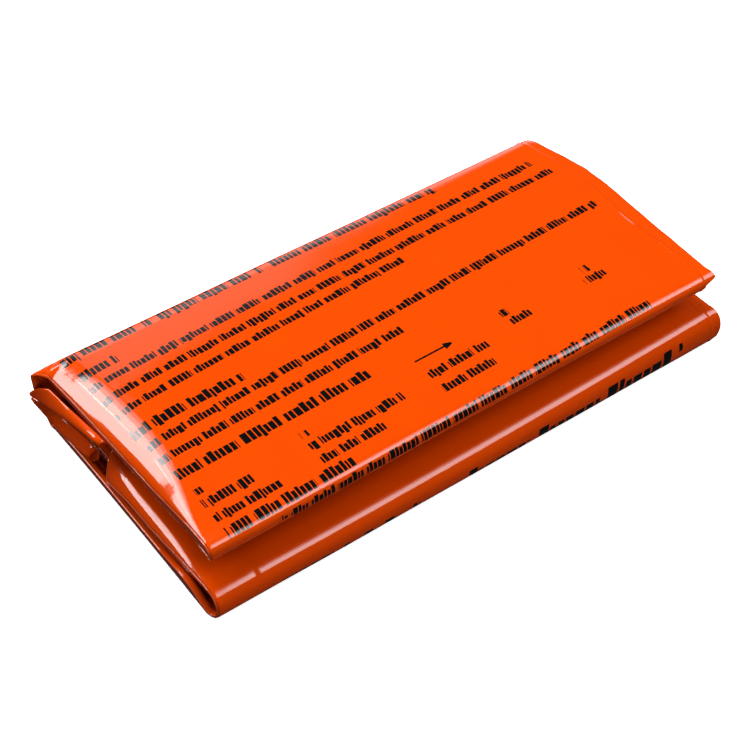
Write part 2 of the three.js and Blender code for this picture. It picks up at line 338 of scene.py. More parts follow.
# %% Ends of the outer stretches
# q is the place along the route. left is how far the film reaches beyond the left end. lead, band and edge
# are the lengths of a roll's three parts, which turn to LEAD_TURN, BAND_TURN and last to roll, in radians.
# strip is the width of the face beyond the crisp edge. weld and lip are the places of the weld and of the
# lip's outer edge, measured from the right end, and dip is how far the lip sinks.
END_COLUMNS = ("q", "left", "lead", "band", "edge", "roll", "strip", "weld", "lip", "dip")
END_ROWS = [
    (-0.5, -9.0, 0.0, 0.0, 0.3, 0.2, 0.5, -6.0, -5.0, 0.0),
    (0.7, -9.0, 0.0, 0.0, 0.3, 0.2, 0.5, -6.5, -6.0, 0.0),
    (0.95, -4.0, 0.0, 0.0, 0.3, 0.2, 0.5, -6.2, -5.6, 0.0),
    (1.2, -3.4, 0.0, 0.0, 0.4, 0.2, 0.5, -5.8, -4.6, 0.0),
    (1.5, -3.1, 0.0, 0.2, 0.4, 0.2, 1.0, -5.2, -4.0, 0.0),
    (1.58, -3.1, 0.1, 0.2, 0.4, 0.25, 1.3, -5.2, -1.4, -0.1),
    (1.66, -3.1, 0.1, 0.2, 0.4, 0.3, 1.7, -5.2, 0.8, -0.3),
    (1.8, -3.1, 0.2, 0.2, 0.5, 0.4, 2.4, -5.2, 0.5, -0.3),
    (1.88, -3.2, 0.3, 0.3, 0.5, 0.5, 3.0, -5.3, 0.3, -0.3),
    (1.94, -3.2, 0.4, 0.4, 0.6, 0.6, 3.2, -5.2, 0.1, -0.2),
    (1.97, -3.2, 0.5, 0.5, 0.6, 0.6, 3.3, -5.0, 0.0, -0.1),
    (2.03, -3.3, 0.9, 0.8, 0.8, 0.8, 3.6, -4.8, -0.1, 0.1),
    (2.09, -3.4, 1.2, 1.5, 1.0, 0.95, 4.0, -4.0, -0.1, 0.2),
    (2.2, -3.6, 3.0, 4.4, 1.8, 1.08, 4.4, -5.2, 0.0, 0.3),
    (2.32, -3.7, 5.0, 7.6, 2.8, 1.12, 3.6, -6.2, 0.1, 0.3),
    (2.42, -3.8, 6.0, 10.2, 2.6, 1.12, 2.7, -6.2, 0.4, 0.3),
    (2.58, -3.5, 6.0, 11.6, 1.9, 1.12, 2.5, -4.5, 1.6, 0.4),
    (2.74, -3.3, 6.0, 11.8, 1.5, 1.10, 2.6, -4.5, 2.0, 0.5),
    (2.86, -3.0, 5.8, 11.2, 1.2, 1.05, 2.6, -4.9, 0.6, 0.5),
    (2.96, -2.7, 5.5, 10.6, 1.0, 1.0, 2.4, -5.8, -1.0, 0.4),
    (3.06, -2.3, 5.2, 9.8, 0.9, 0.9, 2.0, -6.6, -2.2, 0.3),
    (3.12, -2.0, 4.8, 8.2, 1.0, 0.8, 1.6, -6.8, -2.6, 0.2),
    (3.21, -1.6, 4.0, 6.5, 0.8, 0.7, 1.2, -6.8, -2.8, 0.2),
    (3.25, 1.2, 1.5, 2.5, 0.5, 0.3, 0.6, -6.8, -3.0, 0.2),
    (3.28, 2.9, 0.0, 0.3, 0.3, 0.15, 0.4, -6.8, -3.0, 0.2),
    (3.38, 2.7, 0.0, 0.3, 0.3, 0.15, 0.4, -6.8, -3.2, 0.2),
    (3.48, 2.3, 0.0, 0.3, 0.3, 0.2, 0.5, -6.8, -3.4, 0.2),
    (3.55, 0.6, 0.0, 0.3, 0.3, 0.2, 0.5, -6.8, -3.4, 0.2),
    (3.72, -0.6, 0.0, 0.3, 0.3, 0.2, 0.5, -6.8, -3.4, 0.2),
    (3.85, -0.6, 0.0, 0.3, 0.3, 0.3, 1.0, -6.6, -3.2, 0.2),
    (3.95, -1.2, 0.0, 0.3, 0.5, 0.6, 2.6, -6.2, -2.8, 0.1),
    (4.05, -1.2, 0.0, 0.3, 0.6, 0.8, 4.4, -5.0, -0.6, 0.0),
    (4.3, -1.2, 0.0, 0.3, 0.6, 0.8, 4.6, -5.0, 0.0, 0.0),
    (4.55, -1.0, 0.0, 0.3, 0.6, 0.8, 4.4, -5.0, 0.0, 0.0),
    (4.7, -0.8, 0.0, 0.3, 0.6, 0.8, 4.4, -4.6, 0.0, 0.0),
    (4.84, -0.6, 0.0, 0.3, 0.6, 0.8, 6.6, -3.8, -0.5, 0.0),
    (4.91, -0.4, 0.0, 0.3, 0.6, 0.8, 7.2, -3.0, -0.9, 0.0),
    (4.945, -0.5, 0.0, 0.3, 0.8, 0.7, 3.6, -2.4, -0.9, 0.0),
    (4.98, -0.2, 0.0, 0.3, 0.8, 0.5, 1.6, -1.8, -0.8, 0.0),
    (5.05, -0.6, 0.0, 0.3, 0.6, 0.3, 0.6, -1.4, -0.8, 0.0),
    (5.2, -1.2, 0.0, 0.3, 0.3, 0.2, 0.6, -1.3, -0.8, 0.0),
    (5.31, -1.2, 0.0, 0.3, 0.3, 0.2, 0.6, -1.2, -0.6, 0.0),
    (5.36, -1.2, 0.0, 0.3, 0.3, 0.2, 0.6, -1.2, 1.2, -0.2),
    (5.5, -1.2, 0.0, 0.3, 0.3, 0.2, 0.6, -1.9, 1.9, -0.3),
    (5.7, -1.2, 0.2, 0.3, 0.3, 0.3, 0.8, -3.0, 1.9, -0.3),
    (5.86, -1.3, 0.3, 0.3, 0.4, 0.4, 1.0, -3.6, 1.4, -0.2),
    (5.97, -1.3, 0.4, 0.3, 0.5, 0.6, 1.2, -4.0, 1.0, 0.0),
    (6.03, -1.3, 0.6, 0.6, 0.6, 0.8, 1.6, -4.0, 0.7, 0.1),
    (6.11, -1.1, 0.6, 1.0, 0.9, 1.0, 2.0, -4.0, 0.4, 0.2),
    (6.19, -0.9, 0.6, 1.7, 1.6, 1.1, 2.0, -4.1, 0.2, 0.3),
    (6.27, -0.7, 0.6, 2.1, 2.4, 1.1, 2.0, -4.0, 0.0, 0.3),
    (6.35, -0.5, 0.6, 2.1, 2.9, 1.15, 2.0, -4.5, 0.0, 0.3),
    (6.5, -0.5, 0.6, 1.8, 3.4, 1.2, 1.8, -4.5, 0.0, 0.3),
    (6.6, -0.5, 0.6, 1.4, 5.6, 1.3, 1.5, -4.5, 0.0, 0.3),
    (6.66, -0.8, 0.6, 1.0, 7.4, 1.35, 1.0, -4.5, 0.0, 0.3),
    (6.7, -5.0, 0.6, 0.5, 3.0, 0.8, 0.8, -4.6, -0.6, 0.3),
    (6.74, -11.0, 0.0, 0.0, 0.3, 0.2, 0.5, -4.8, -1.8, 0.2),
    (6.82, -15.0, 0.0, 0.0, 0.3, 0.2, 0.5, -6.0, -5.0, 0.0),
    (7.5, -15.0, 0.0, 0.0, 0.3, 0.2, 0.5, -6.0, -5.0, 0.0),
]
LEAD_TURN = 0.2
BAND_TURN = 0.6


def ends_at(q):
    """The table's values at q, between the two rows that it lies between."""
    q = min(END_ROWS[-1][0], max(END_ROWS[0][0], q))
    for low, high in zip(END_ROWS, END_ROWS[1:]):
        if q <= high[0]:
            share = (q - low[0]) / (high[0] - low[0])
            return dict(zip(END_COLUMNS, (mix(a, b, share) for a, b in zip(low, high))))


print("the upper side's lip is", round(ends_at(2.5)["lip"] - ends_at(2.5)["weld"], 1), "mm wide")

# %% [markdown]
# ## The ends of the inner plies
#
# Inside the packets the strip's ends are folded in, so the plies end in closed folds. Between the outer
# edges they show as thin dark lines. A full roll for each would cost far too many faces. Instead two
# neighbours bend towards each other until they meet, and each pair stops at a slightly different place.

# %% Ends of the inner plies
# How far each folded pair stops short of the left end, by the level of the pair's lower ply.
PAIR_LEFT = {
    "upper": {6: -18.0, 4: -13.0, 2: -10.0, 0: -9.0},
    "lower": {8: -15.0, 6: -5.0, 4: -5.6, 2: -6.5, 0: -4.5},
}
OUTER_Q = (-0.2, 7.0)  # rows between these values follow the table of the outer stretches
PAIR_WELD = -6.0
PAIR_LIP = -4.0
WANDER_SCALE = (1.7, 0.03)  # from level to level, and for each millimetre of y
WANDER_SEED = 3.0
LEFT_WANDER = 0.9
LIP_WANDER = 1.2
LEAST_BEND = 0.1
PAIR_GAP = 0.05  # air left in the middle of a closed pair


def end_of_row(row):
    y, z, q, half_pitch, packet, level = MIDDLE[row]
    if OUTER_Q[0] <= q <= OUTER_Q[1]:
        return ends_at(q)
    wander = noise.noise(Vector((level * WANDER_SCALE[0], y * WANDER_SCALE[1], WANDER_SEED)))
    bend = max(LEAST_BEND, half_pitch - FILM / 2 - PAIR_GAP)
    left = PAIR_LEFT[packet][level - level % 2] + LEFT_WANDER * wander
    made = dict.fromkeys(END_COLUMNS, 0.0)
    made.update(q=q, left=left, strip=bend, weld=PAIR_WELD, lip=PAIR_LIP + LIP_WANDER * wander, dip=bend)
    return made


ROW_ENDS = [end_of_row(row) for row in range(ROWS)]
print(sum(not OUTER_Q[0] <= ends["q"] <= OUTER_Q[1] for ends in ROW_ENDS), "rows lie inside the packets")

# %% [markdown]
# ## Columns across the film
#
# The sheet's columns run from the left end to the right. An even spacing would be simplest, but it would
# blunt the crisp edge and the thin weld. So the columns are dense where the film turns sharply and wide
# apart where it is flat.

# %% Columns across the film
LEFT_ROLL = 21.0  # from the left end to where the film starts to roll
ROLL_START = LEFT + LEFT_ROLL
TUCK_SHARES = (1.0, 0.5, 0.12)
STRIP_SHARES = (1.0, 0.88, 0.5, 0.12)
LIP_SHARES = (0.35, 0.6, 0.85, 0.94, 1.0)
WELD_BEAD = (-1.6, -1.0, -0.6, -0.3, 0.0, 0.3, 0.7, 1.2)  # distances from the weld line
CRISP_SHARE = 0.985  # a column close to the roll's edge, which keeps the edge crisp
ROLL_COLUMNS = 30
ROLL_CROWDING = 1.35  # above 1, the roll's columns crowd towards its edge
BODY_COLUMNS = 60


def columns():
    """Columns from the left end to the right: tuck, strip, roll, body, the weld's bead, and the lip."""
    made = [("tuck", share) for share in TUCK_SHARES]
    made += [("strip", share) for share in STRIP_SHARES]
    made += [("roll", 1.0), ("roll", CRISP_SHARE)]
    made += [("roll", 1 - (number / ROLL_COLUMNS) ** ROLL_CROWDING) for number in range(1, ROLL_COLUMNS)]
    made += [("body", number / BODY_COLUMNS) for number in range(BODY_COLUMNS)]
    made += [("bead", distance) for distance in WELD_BEAD]
    made += [("lip", share) for share in LIP_SHARES]
    return made


COLUMNS = columns()
CREASE_WHITENING_AND_HIGHLIGHT = {("strip", 1.0): 0.35, ("roll", 1.0): 0.6, ("lip", 1.0): 0.5}  # how pale each crease is painted: a painted highlight, with some stress whitening
print(len(COLUMNS), "columns across the film")

# %% [markdown]
# ## Waves, wrinkles and kinks
#
# Thin film is never quite flat. Broad low waves run over the packets, short wrinkles gather at the two
# ends, and here and there a front fold is nicked by a small kink. All of it is a few tenths of a
# millimetre, which is enough to bend a highlight. Bump in the material could fake it, but the outline and
# the mirrored lamps follow real relief better, so the points themselves move.

# %% Relief of the film
WAVE = 0.14
WAVE_SIZE = (40, 24)  # along the packet and along the film
WAVE_SEED = 1.0
END_WRINKLE = 0.2
WRINKLE_SIZE = (11, 5)
WRINKLE_SEED = 7.0
WRINKLE_REACH = 14  # how far from the ends the wrinkles die away
WRINKLE_SHARES = (0.5, 0.8)  # left end, right end
RELIEF_Q = (0.9, 7.0)  # outside these values the film is out of sight and stays smooth
KINK_SPREAD = 0.16  # in q
KINK_COLUMNS = ("q", "x", "depth", "size")
KINKS = [
    (5.8, -95.0, 0.16, 1.2),
    (5.8, 6.0, 0.22, 1.0),
    (5.8, 37.0, 0.2, 1.0),
    (1.75, -62.0, 0.15, 1.5),
    (1.75, 24.0, 0.15, 1.6),
    (2.42, -109.0, 0.4, 2.0),
    (2.66, -109.0, 0.3, 2.0),
]


def relief(x, row):
    """How far the film stands proud of its smooth form, in millimetres."""
    q, run = MIDDLE[row][2], RUN[row]
    if not RELIEF_Q[0] < q < RELIEF_Q[1]:
        return 0.0
    height = WAVE * noise.noise(Vector((x / WAVE_SIZE[0], run / WAVE_SIZE[1], WAVE_SEED)))
    near_end = WRINKLE_SHARES[0] * math.exp((LEFT - x) / WRINKLE_REACH)
    near_end += WRINKLE_SHARES[1] * math.exp((x - RIGHT) / WRINKLE_REACH)
    wrinkle = noise.noise(Vector((x / WRINKLE_SIZE[0], run / WRINKLE_SIZE[1], WRINKLE_SEED)))
    height += END_WRINKLE * near_end * wrinkle
    for kink in KINKS:
        place = dict(zip(KINK_COLUMNS, kink))
        away = ((x - place["x"]) / place["size"]) ** 2 + ((q - place["q"]) / KINK_SPREAD) ** 2
        height -= place["depth"] * math.exp(-away)
    return height


first_kink = dict(zip(KINK_COLUMNS, KINKS[0]))
print("relief at the first kink:", round(relief(first_kink["x"], row_at(first_kink["q"])), 2), "mm")

# %% [markdown]
# ## The weld
#
# Hot bars press the tube's walls together and leave a low bead with a groove beside it. It is less than a
# millimetre wide, but it catches a long thin highlight. It could be a separate thread laid on the film.
# As part of the film's own relief it needs no joint, so two bell curves raise the bead and sink the groove.

# %% Bead of the weld
BEAD_HEIGHT = 0.2
BEAD_EXTRA = 0.36  # added around the place on the upper side where the weld is pinched most
PINCH_Q = 2.36
PINCH_SPREAD = 0.17
BEAD_WIDTH = 0.5
GROOVE_PLACE = 1.0
GROOVE_SHARE = 0.45


def bell(distance, width):
    return math.exp(-(distance / width) ** 2)


def bead_height(row, distance):
    """The weld's raised bead with the shallow groove beyond it."""
    tallest = BEAD_HEIGHT + BEAD_EXTRA * bell(MIDDLE[row][2] - PINCH_Q, PINCH_SPREAD)
    groove = GROOVE_SHARE * bell(distance - GROOVE_PLACE, BEAD_WIDTH)
    return tallest * (bell(distance, BEAD_WIDTH) - groove)


print("bead at the lower front fold:", round(bead_height(LOWER_FRONT_ROW, 0.0), 2), "mm")

# %% [markdown]
# ## Folding up
#
# Now each point of the flat sheet gets its place. The section gives y and z, and the ends' table gives x
# and how far the film sinks inwards there. On the left end a roll is walked in small steps that turn ever
# more. Posing bones or bending modifiers could do it too, but they can't meet the measured edge lines.

# %% Roll of the left end
ROLL_STEPS = 8
LEAD_SHARE = 1 / 3  # the lead takes no more than this share of a roll's turn
BAND_SHARE = 0.6  # the lead and the band together take no more than this
STRIP_TURNS = {"over": math.radians(92), "under": math.radians(80)}
UNDER_Q = (3.9, 5.5)  # the strip of these stretches turns less, because the floor is close
TUCK = 2.5


def roll_points(ends):
    """Distance along the film, reach and sink of points along one row's roll."""
    lead_turn = min(LEAD_TURN, ends["roll"] * LEAD_SHARE)
    band_turn = min(BAND_TURN, ends["roll"] * BAND_SHARE)
    parts = [(ends["lead"], 0.0, lead_turn), (ends["band"], lead_turn, band_turn),
             (ends["edge"], band_turn, ends["roll"])]
    points = [(0.0, 0.0, 0.0)]
    for length, turn, next_turn in parts:
        step = length / ROLL_STEPS
        for number in range(ROLL_STEPS):
            angle = mix(turn, next_turn, (number + 0.5) / ROLL_STEPS)
            along, reach, sink = points[-1]
            points.append((along + step, reach + step * math.cos(angle), sink + step * math.sin(angle)))
    flat = LEFT_ROLL + ends["left"] - points[-1][1]
    return [(0.0, 0.0, 0.0)] + [(along + flat, reach + flat, sink) for along, reach, sink in points]


ROLLS = [roll_points(ends) for ends in ROW_ENDS]


def along_roll(points, share):
    """Reach and sink at a share of one row's roll."""
    wanted = share * points[-1][0]
    for before, after in zip(points, points[1:]):
        if wanted <= after[0] and after[0] > before[0]:
            part = (wanted - before[0]) / (after[0] - before[0])
            return mix(before[1], after[1], part), mix(before[2], after[2], part)
    return points[-1][1:]


def end_profile(row, kind, share):
    """Reach and sink of the film's left end on one row."""
    ends = ROW_ENDS[row]
    reach, sink = along_roll(ROLLS[row], share if kind == "roll" else 1.0)
    if kind == "roll":
        return reach, sink
    width = ends["strip"] * (share if kind == "strip" else 1.0)
    turn = STRIP_TURNS["under" if UNDER_Q[0] < MIDDLE[row][2] < UNDER_Q[1] else "over"]
    reach += math.cos(turn) * width
    sink += math.sin(turn) * width
    return (reach - TUCK * share, sink) if kind == "tuck" else (reach, sink)


steepest = max(ends["roll"] for ends in ROW_ENDS)
print("the film rolls down by up to", round(math.degrees(steepest)), "degrees")


# %% Fold up the film
WELD_SECTION = RIGHT - 5.0  # where the section is taken for the weld and the lip
LEAST_LIP = 0.2
SECTIONS = {}  # sections that have been worked out, by their x


def section_cached(x):
    if x not in SECTIONS:
        SECTIONS[x] = section_at(x)
    return SECTIONS[x]


def inwards(points, row):
    """Unit direction towards the inside of what the film wraps."""
    before, after = points[max(0, row - 1)], points[min(len(points) - 1, row + 1)]
    size = math.hypot(after[0] - before[0], after[1] - before[1])
    return (after[1] - before[1]) / size, -(after[0] - before[0]) / size


def film_point(column, row):
    kind, share = COLUMNS[column]
    ends = ROW_ENDS[row]
    weld = RIGHT + ends["weld"]
    along = share if kind == "body" else float(kind in ("bead", "lip"))
    x = mix(ROLL_START, weld + WELD_BEAD[0], along)
    points = section_cached(mix(ROLL_START, WELD_SECTION, along))
    sink = 0.0
    if kind == "bead":
        x = weld + share
        sink = -bead_height(row, share)
    if kind == "lip":
        start = weld + WELD_BEAD[-1]
        x = mix(start, max(start + LEAST_LIP, RIGHT + ends["lip"]), share)
        sink = ends["dip"] * share ** 2
    if kind in ("tuck", "strip", "roll"):
        reach, sink = end_profile(row, kind, share)
        x -= reach
    sink -= relief(x, row)
    in_y, in_z = inwards(points, row)
    z = max(FILM / 2, points[row][1] + in_z * sink)  # the film rests on the floor and never sinks into it
    return Vector((x, points[row][0] + in_y * sink, z))


corner = film_point(len(COLUMNS) - 1, LOWER_FRONT_ROW)
print("the lip's corner at the lower front fold:", [round(value, 1) for value in corner])

# %% [markdown]
# ## Printed rows
#
# The film is printed in black with closely set rows of upright strokes, and one plain arrow. They could
# be cut as thin raised pieces, but ink has no thickness to speak of. So every face of the film is given
# its place in the print, in row heights, by a second UV map, and the material draws the strokes from that.

# %% Table of the print
# base is the height of a row's foot above the foremost line of the front fold named, at the left end,
# rise is how much it climbs in 100 mm, and spans are the stretches of x that carry print.
PRINT_COLUMNS = ("fold", "base", "height", "rise", "spans")
PRINT_ROWS = [
    ("upper", 104.0, 4.6, -1.2, [(-106, -75), (-71, -69), (-65, -26), (-22, -20), (-15, 60)]),
    ("upper", 93.4, 4.8, 0.0, [(-105, -89)]),
    ("upper", 86.2, 3.7, 2.4, [(-105, 100)]),
    ("upper", 77.7, 3.7, 2.3, [(-105, 104)]),
    ("upper", 69.2, 3.7, 3.4, [(-105, 23)]),
    ("upper", 57.6, 4.8, 0.0, [(-105, -58)]),
    ("upper", 49.4, 3.7, 3.2, [(-104, 103)]),
    ("upper", 41.6, 3.7, 1.6, [(-104, -1)]),
    ("upper", 32.2, 4.8, 0.3, [(-103, -23)]),
    ("upper", 23.2, 3.6, 0.0, [(-102, -99), (-59, -56)]),
    ("upper", 25.6, 3.6, 2.2, [(33, 36), (71, 75)]),
    ("upper", 17.2, 3.8, 0.5, [(-103, -80), (-59, -18)]),
    ("upper", 21.0, 3.6, 2.0, [(32, 44), (70, 80)]),
    ("upper", 18.0, 3.8, 1.8, [(-6, 20)]),
    ("upper", 10.2, 3.8, 0.5, [(-103, -74), (-59, -31)]),
    ("upper", 10.6, 3.8, 1.5, [(-6, 18)]),
    ("upper", 2.6, 4.4, 2.4, [(-103, -50)]),
    ("upper", -3.4, 3.8, 3.4, [(-80, 84)]),
    ("lower", -13.2, 10.0, 3.0, [(-96, -28), (-8, 94)]),
]
ARROW = {"base": 27.4, "height": 4.4, "left": -5.0, "right": 11.5}
print(len(PRINT_ROWS), "printed rows")


# %% Places on the flat film
ARROW_CODE = 10.0  # heights from here on belong to the arrow
NO_PRINT = -5.0  # a height that carries no ink
ROW_SHIFT = 41.0  # sets each row's strokes apart from the next row's
OVERHANG = 2.0  # film that reaches beyond each end of the packet
FOREMOST = {"upper": row_at(1.5), "lower": LOWER_FRONT_ROW}  # rows at the foremost lines of the folds


def flat_x(column, row):
    """Where a point lies on the flat film."""
    kind, share = COLUMNS[column]
    weld = RIGHT + ROW_ENDS[row]["weld"]
    if kind == "body":
        return mix(ROLL_START, weld + WELD_BEAD[0], share)
    if kind == "bead":
        return weld + share
    if kind == "lip":
        return mix(weld + WELD_BEAD[-1], RIGHT + OVERHANG, share)
    return ROLL_START - LEFT_ROLL * share if kind == "roll" else LEFT - OVERHANG * share


def print_places(corners):
    """A face's corners in its print row's own units, or out of the way of all print."""
    middle = sum(x for x, run in corners) / len(corners)
    for number, values in enumerate(PRINT_ROWS):
        row = dict(zip(PRINT_COLUMNS, values))
        if not any(left < middle < right for left, right in row["spans"]):
            continue
        zero = RUN[FOREMOST[row["fold"]]] + row["base"]
        heights = [run - zero - row["rise"] * (x - LEFT) / 100 for x, run in corners]
        if max(heights) > 0 and min(heights) < row["height"]:
            size = row["height"]
            shift = ROW_SHIFT * number
            return [(x / size + shift, height / size) for (x, run), height in zip(corners, heights)]
    size = ARROW["height"]
    heights = [run - RUN[FOREMOST["upper"]] - ARROW["base"] for x, run in corners]
    if max(heights) > 0 and min(heights) < size and ARROW["left"] < middle < ARROW["right"]:
        return [((x - ARROW["left"]) / size, ARROW_CODE + height / size)
                for (x, run), height in zip(corners, heights)]
    return [(0.0, NO_PRINT)] * len(corners)


unrolled = flat_x(len(COLUMNS) - 1, 0) - flat_x(0, 0)
print("the film is", round(unrolled), "mm wide when it is laid out")

# %% [markdown]
# ## The sheet
#
# Every vertex and face could be written out, but a grid of bmesh comes clean and counted. It is made flat,
# with the right number of rows and columns. Its faces get two UV maps, one in metres of flat film and one
# for the print. Then its points move to where the folding puts them, and the points on the crisp edges
# carry a mark that paints them paler: a painted highlight of the thin lines they catch, with some stress
# whitening.

# %% The film as a mesh
def fold_film():
    mesh = bmesh.new()
    uv = mesh.loops.layers.uv.new("flat")
    print_uv = mesh.loops.layers.uv.new("print")
    whitening_and_highlight = mesh.verts.layers.float.new("whitening_and_highlight")
    across_count, along_count = len(COLUMNS) - 1, ROWS - 1
    bmesh.ops.create_grid(mesh, x_segments=across_count, y_segments=along_count, size=0.5)
    index = {}
    for vertex in mesh.verts:
        column = round((vertex.co.x + 0.5) * across_count)
        row = round((vertex.co.y + 0.5) * along_count)
        index[vertex] = (column, row)
    for face in mesh.faces:
        face.smooth = True
        corners = []
        for loop in face.loops:
            column, row = index[loop.vert]
            corners.append((flat_x(column, row), RUN[row]))
            loop[uv].uv = (flat_x(column, row) * MM, RUN[row] * MM)
        for loop, place in zip(face.loops, print_places(corners)):
            loop[print_uv].uv = place
    for vertex, (column, row) in index.items():
        vertex.co = film_point(column, row) * MM
        # points on the crisp edges get a paler colour: a painted highlight of the thin lines they catch,
        # with some stress whitening
        vertex[whitening_and_highlight] = CREASE_WHITENING_AND_HIGHLIGHT.get(COLUMNS[column], 0.0)
    return mesh


def add_piece(mesh, name):
    data = bpy.data.meshes.new(name)
    mesh.to_mesh(data)
    mesh.free()
    piece = bpy.data.objects.new(name, data)
    bpy.context.scene.collection.objects.link(piece)
    return piece


film = add_piece(fold_film(), "folded_film")
print("film:", len(film.data.polygons), "faces before it gets its thickness")

# %% [markdown]
# ## Thickness
#
# Film has two faces and a thin edge that catches the light at the lip. Doubling the faces by hand would
# mean a second sheet to keep in step. Solidify does it evenly, half to each side of the drawn sheet.

# %% Thicken
def thicken(piece, millimetres):
    solidify = piece.modifiers.new("thickness", "SOLIDIFY")
    solidify.thickness = millimetres * MM
    solidify.offset = 0


thicken(film, FILM)
print("thickness drawn:", FILM, "mm")

# %% [markdown]
# ## The two pleats at the left end
#
# Where the spine meets the left end, the film has nowhere to go. It sticks out as a small ear and lies
# down along the end in two long pleats, one above the other, each a flattened tube that widens from the
# ear and ends in an open mouth. They could be pulled out of the sheet, but its rows run the other way
# there. So a line of points spun full circle gives a tube with the right number of rings, and a short
# table lays each ring's lower and upper edge where the pleat has its two folds.

# %% Tables of the pleats
# low and top are a ring's two edges, puff is how far its face stands out and back how far its rear does,
# as shares of its height, and lip is how far the rear reaches on beyond the face.
RING_COLUMNS = ("low", "top", "puff", "back", "lip")
UPPER_PLEAT = [
    ((-116.2, 58.3, 16.4), (-116.2, 58.3, 17.4), 0.02, 0.0, 0.0),
    ((-115.9, 57.0, 16.3), (-115.6, 57.0, 19.2), 0.03, 0.0, 0.0),
    ((-115.3, 54.0, 16.7), (-114.1, 54.0, 22.0), 0.05, 0.0, 0.0),
    ((-114.6, 50.0, 17.1), (-112.1, 50.0, 23.6), 0.06, 0.0, 0.0),
    ((-113.8, 44.0, 18.2), (-111.4, 44.0, 23.2), 0.08, 0.0, 0.0),
    ((-113.2, 38.0, 19.4), (-110.9, 38.0, 23.2), 0.16, 0.0, 0.0),
    ((-112.6, 32.0, 20.3), (-110.5, 32.0, 23.7), 0.30, 0.0, 0.0),
    ((-112.0, 26.0, 21.1), (-110.1, 26.0, 24.2), 0.42, 0.04, 0.0),
    ((-111.3, 20.0, 21.8), (-109.9, 20.0, 24.8), 0.50, 0.12, 0.0),
    ((-110.9, 15.6, 22.2), (-109.8, 15.0, 25.0), 0.50, 0.16, 0.8),
]
LOWER_PLEAT = [
    ((-116.1, 58.2, 14.4), (-115.8, 58.2, 15.2), 0.02, 0.0, 0.0),
    ((-115.6, 57.0, 12.6), (-114.9, 57.0, 14.0), 0.03, 0.0, 0.0),
    ((-113.6, 54.0, 7.8), (-112.0, 54.0, 10.9), 0.04, 0.0, 0.0),
    ((-112.6, 50.0, 6.2), (-110.0, 50.0, 9.3), 0.05, 0.0, 0.0),
    ((-112.4, 44.0, 6.0), (-109.3, 44.0, 9.3), 0.08, 0.0, 0.0),
    ((-112.4, 38.0, 7.4), (-109.2, 38.0, 10.8), 0.10, 0.0, 0.0),
    ((-112.4, 32.0, 8.4), (-109.1, 32.0, 12.0), 0.12, 0.02, 0.0),
    ((-112.4, 27.0, 9.7), (-109.3, 27.0, 13.4), 0.16, 0.08, 0.5),
    ((-112.5, 23.4, 10.6), (-109.6, 23.0, 14.1), 0.20, 0.20, 2.5),
]
RING_POINTS = 32
CRISP_RINGS = {"upper": 0, "lower": 4}  # how many rings, from the ear on, have sharply pressed folds
FOLD_SINE = 0.01  # a point whose turn has a smaller sine lies on one of the two folds
# how pale the pleats' lower folds are painted: a painted highlight, with some stress whitening
PLEAT_FOLD_WHITENING_AND_HIGHLIGHT = 0.5
PLEAT_FILM = 0.3
print(len(UPPER_PLEAT), "and", len(LOWER_PLEAT), "rings of", RING_POINTS, "points")


# %% Spin the pleats
def ring_point(ring, turn):
    """A point of a flattened ring: its lower edge at turn 0, its upper edge at half a turn."""
    low, top = Vector(ring["low"]), Vector(ring["top"])
    chord = top - low
    outwards = chord.cross(Vector((0, 1, 0))).normalized()
    side = math.sin(turn)
    depth = ring["puff"] if side > 0 else ring["back"]
    point = low + chord * (1 - math.cos(turn)) / 2 + outwards * depth * side * chord.length
    point.y -= ring["lip"] * max(0.0, -side)
    return point


def add_pleat(mesh, table, whitening_and_highlight):
    """A tube of one ring for each row of the table, spun from a line, and the points of its two folds."""
    line = [mesh.verts.new((1, 0, number)) for number in range(len(table))]
    edges = [mesh.edges.new(pair) for pair in zip(line, line[1:])]
    bmesh.ops.spin(mesh, geom=line + edges, cent=(0, 0, 0), axis=(0, 0, 1), angle=2 * math.pi,
                   steps=RING_POINTS, use_merge=True)
    rings = [dict(zip(RING_COLUMNS, row)) for row in table]
    folds = []
    for vertex in [vertex for vertex in mesh.verts if not vertex.tag]:
        number = round(vertex.co.z)
        turn = math.atan2(vertex.co.y, vertex.co.x) % (2 * math.pi)
        vertex.co = ring_point(rings[number], turn) * MM
        on_fold_line = abs(math.sin(turn)) < FOLD_SINE
        if on_fold_line:
            folds.append((number, vertex))
        # the lower fold of each pleat is painted paler: a painted highlight, with some stress whitening
        vertex[whitening_and_highlight] = PLEAT_FOLD_WHITENING_AND_HIGHLIGHT if on_fold_line and math.cos(turn) > 0 else 0.0
        vertex.tag = True
    return folds


def make_pleats():
    mesh = bmesh.new()
    whitening_and_highlight = mesh.verts.layers.float.new("whitening_and_highlight")
    crisp = set()
    for name, table in (("upper", UPPER_PLEAT), ("lower", LOWER_PLEAT)):
        folds = add_pleat(mesh, table, whitening_and_highlight)
        crisp.update(vertex for number, vertex in folds if number < CRISP_RINGS[name])
    bmesh.ops.recalc_face_normals(mesh, faces=mesh.faces)
    for face in mesh.faces:
        face.smooth = True
    for edge in mesh.edges:
        edge.smooth = not crisp.issuperset(edge.verts)
    return mesh


pleats = add_piece(make_pleats(), "corner_pleats")
thicken(pleats, PLEAT_FILM)
print("pleats:", len(pleats.data.polygons), "faces")

# %% [markdown]
# ## Materials
#
# Materials could be put together by hand in the node editor, but code repeats them exactly. One helper
# turns the hex colours of a paint chart to Blender's linear values, and one adds a node with its settings
# and its links.

